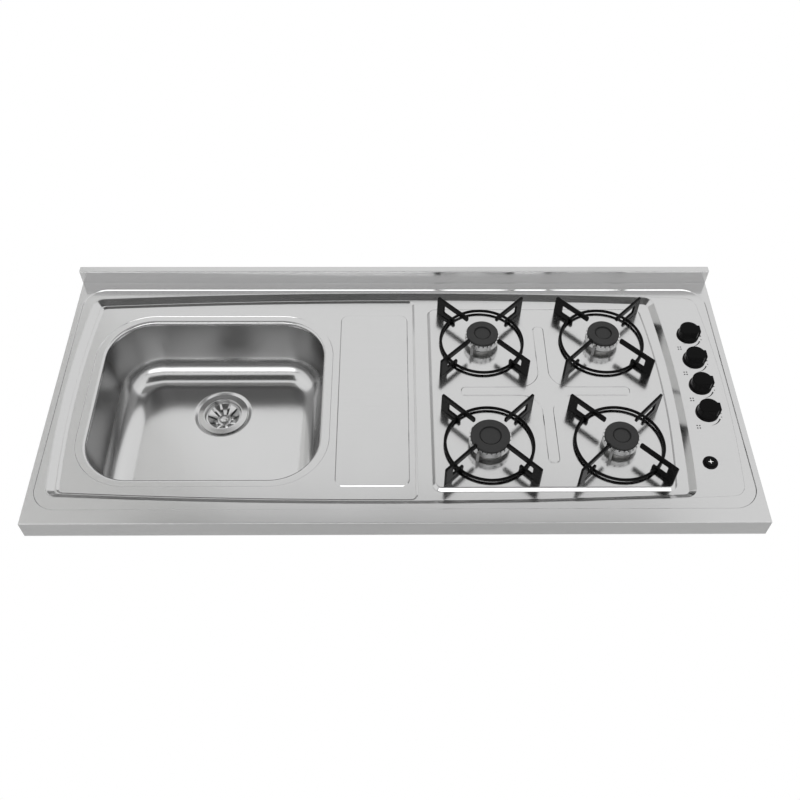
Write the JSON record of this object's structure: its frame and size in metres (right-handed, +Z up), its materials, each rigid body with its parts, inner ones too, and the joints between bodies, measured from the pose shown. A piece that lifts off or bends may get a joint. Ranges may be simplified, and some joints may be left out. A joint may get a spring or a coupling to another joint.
{
  "type": "sink and stove unit",
  "caption": "Pressed stainless worktop with a welded sink bowl, drainboard and gas hob, with lift-off trivets and burner caps, push-and-turn knobs and a push igniter.",
  "frame": {"origin": "middle of the seat: the underside of the folded return flange that lies on the cabinet", "axes": "+X to the right, towards the hob; +Y to the wall; +Z up"},
  "size_m": [1.2, 0.547, 0.2552],
  "materials": {
    "worktop_steel": "satin pressed stainless",
    "bowl_steel": "polished deep-drawn stainless",
    "drain_steel": "polished stainless",
    "seal_rubber": "matt black rubber",
    "locknut_plastic": "moulded polypropylene",
    "trivet_enamel": "black enamel on steel",
    "cap_enamel": "matt dark grey enamel",
    "crown_alloy": "turned alloy",
    "cup_alloy": "dark die-cast alloy",
    "electrode_ceramic": "glazed white ceramic",
    "electrode_steel": "drawn wire",
    "knob_plastic": "gloss black thermoset",
    "button_plastic": "gloss black",
    "nut_plastic": "moulded nylon",
    "brass": "turned brass",
    "tube_alloy": "drawn tube",
    "manifold_steel": "zinc plated tube",
    "valve_alloy": "die-cast alloy",
    "stem_steel": "drawn bar",
    "generator_plastic": "moulded housing",
    "lead_silicone": "silicone sleeve",
    "gland_rubber": "moulded bush",
    "tray_steel": "galvanised sheet"
  },
  "bodies": {
    "unit": {"burner_cup_front_left": "cup_alloy", "burner_cup_front_right": "cup_alloy", "burner_cup_rear_left": "cup_alloy", "burner_cup_rear_right": "cup_alloy", "drain_body": "drain_steel", "drain_gasket": "seal_rubber", "drain_locknut": "locknut_plastic", "drain_seal": "seal_rubber", "electrode_ceramics": "electrode_ceramic", "electrode_pins": "electrode_steel", "gas_inlet": "brass", "gas_manifold": "manifold_steel", "gas_tube_front_left": "tube_alloy", "gas_tube_front_right": "tube_alloy", "gas_tube_rear_left": "tube_alloy", "gas_tube_rear_right": "tube_alloy", "hob_tray": "tray_steel", "igniter_housing": "button_plastic", "igniter_nut": "nut_plastic", "ignition_leads": "lead_silicone", "injectors": "brass", "mains_gland": "gland_rubber", "sink_bowl": "bowl_steel", "spark_generator": "generator_plastic", "top_sheet": "worktop_steel", "valve_body_1": "valve_alloy", "valve_body_2": "valve_alloy", "valve_body_3": "valve_alloy", "valve_body_4": "valve_alloy"},
    "button": {"igniter_button": "button_plastic"},
    "basket": {"drain_basket": "drain_steel"},
    "trivet_rear_right": {"trivet_rear_right": "trivet_enamel"},
    "crown_rear_right": {"burner_crown_rear_right": "crown_alloy"},
    "cap_rear_right": {"burner_cap_rear_right": "cap_enamel"},
    "trivet_rear_left": {"trivet_rear_left": "trivet_enamel"},
    "crown_rear_left": {"burner_crown_rear_left": "crown_alloy"},
    "cap_rear_left": {"burner_cap_rear_left": "cap_enamel"},
    "trivet_front_left": {"trivet_front_left": "trivet_enamel"},
    "crown_front_left": {"burner_crown_front_left": "crown_alloy"},
    "cap_front_left": {"burner_cap_front_left": "cap_enamel"},
    "trivet_front_right": {"trivet_front_right": "trivet_enamel"},
    "crown_front_right": {"burner_crown_front_right": "crown_alloy"},
    "cap_front_right": {"burner_cap_front_right": "cap_enamel"},
    "plug_1": {"valve_plug_1": "brass"},
    "stem_1": {"valve_stem_1": "stem_steel", "knob_1": "knob_plastic"},
    "plug_2": {"valve_plug_2": "brass"},
    "stem_2": {"valve_stem_2": "stem_steel", "knob_2": "knob_plastic"},
    "plug_3": {"valve_plug_3": "brass"},
    "stem_3": {"valve_stem_3": "stem_steel", "knob_3": "knob_plastic"},
    "plug_4": {"valve_plug_4": "brass"},
    "stem_4": {"valve_stem_4": "stem_steel", "knob_4": "knob_plastic"}
  },
  "joints": [
    {"name": "knob_1_turn", "type": "hinge", "parent": "unit", "child": "plug_1", "pos_m": [0.5386, 0.1218, 0], "axis": [0, 0, 1], "range_deg": [0, 210]},
    {"name": "knob_1_push", "type": "slide", "parent": "plug_1", "child": "stem_1", "axis": [0, 0, -1], "range_m": [0, 0.003], "stiffness_N_per_m": 600, "springref_m": -0.005},
    {"name": "knob_2_turn", "type": "hinge", "parent": "unit", "child": "plug_2", "pos_m": [0.5386, 0.0623, 0], "axis": [0, 0, 1], "range_deg": [0, 210]},
    {"name": "knob_2_push", "type": "slide", "parent": "plug_2", "child": "stem_2", "axis": [0, 0, -1], "range_m": [0, 0.003], "stiffness_N_per_m": 600, "springref_m": -0.005},
    {"name": "knob_3_turn", "type": "hinge", "parent": "unit", "child": "plug_3", "pos_m": [0.5386, 0.0028, 0], "axis": [0, 0, 1], "range_deg": [0, 210]},
    {"name": "knob_3_push", "type": "slide", "parent": "plug_3", "child": "stem_3", "axis": [0, 0, -1], "range_m": [0, 0.003], "stiffness_N_per_m": 600, "springref_m": -0.005},
    {"name": "knob_4_turn", "type": "hinge", "parent": "unit", "child": "plug_4", "pos_m": [0.5386, -0.0567, 0], "axis": [0, 0, 1], "range_deg": [0, 210]},
    {"name": "knob_4_push", "type": "slide", "parent": "plug_4", "child": "stem_4", "axis": [0, 0, -1], "range_m": [0, 0.003], "stiffness_N_per_m": 600, "springref_m": -0.005},
    {"name": "igniter_push", "type": "slide", "parent": "unit", "child": "button", "axis": [0, 0, -1], "range_m": [0, 0.0025], "stiffness_N_per_m": 800, "springref_m": -0.004},
    {"name": "trivet_rear_right_lift", "type": "slide", "parent": "unit", "child": "trivet_rear_right", "axis": [0, 0, 1], "range_m": [0, 0.06]},
    {"name": "crown_rear_right_lift", "type": "slide", "parent": "unit", "child": "crown_rear_right", "axis": [0, 0, 1], "range_m": [0, 0.025]},
    {"name": "cap_rear_right_lift", "type": "slide", "parent": "crown_rear_right", "child": "cap_rear_right", "axis": [0, 0, 1], "range_m": [0, 0.02]},
    {"name": "trivet_rear_left_lift", "type": "slide", "parent": "unit", "child": "trivet_rear_left", "axis": [0, 0, 1], "range_m": [0, 0.06]},
    {"name": "crown_rear_left_lift", "type": "slide", "parent": "unit", "child": "crown_rear_left", "axis": [0, 0, 1], "range_m": [0, 0.025]},
    {"name": "cap_rear_left_lift", "type": "slide", "parent": "crown_rear_left", "child": "cap_rear_left", "axis": [0, 0, 1], "range_m": [0, 0.02]},
    {"name": "trivet_front_left_lift", "type": "slide", "parent": "unit", "child": "trivet_front_left", "axis": [0, 0, 1], "range_m": [0, 0.06]},
    {"name": "crown_front_left_lift", "type": "slide", "parent": "unit", "child": "crown_front_left", "axis": [0, 0, 1], "range_m": [0, 0.025]},
    {"name": "cap_front_left_lift", "type": "slide", "parent": "crown_front_left", "child": "cap_front_left", "axis": [0, 0, 1], "range_m": [0, 0.02]},
    {"name": "trivet_front_right_lift", "type": "slide", "parent": "unit", "child": "trivet_front_right", "axis": [0, 0, 1], "range_m": [0, 0.06]},
    {"name": "crown_front_right_lift", "type": "slide", "parent": "unit", "child": "crown_front_right", "axis": [0, 0, 1], "range_m": [0, 0.025]},
    {"name": "cap_front_right_lift", "type": "slide", "parent": "crown_front_right", "child": "cap_front_right", "axis": [0, 0, 1], "range_m": [0, 0.02]},
    {"name": "basket_lift", "type": "slide", "parent": "unit", "child": "basket", "axis": [0, 0, 1], "range_m": [0, 0.05]}
  ]
}
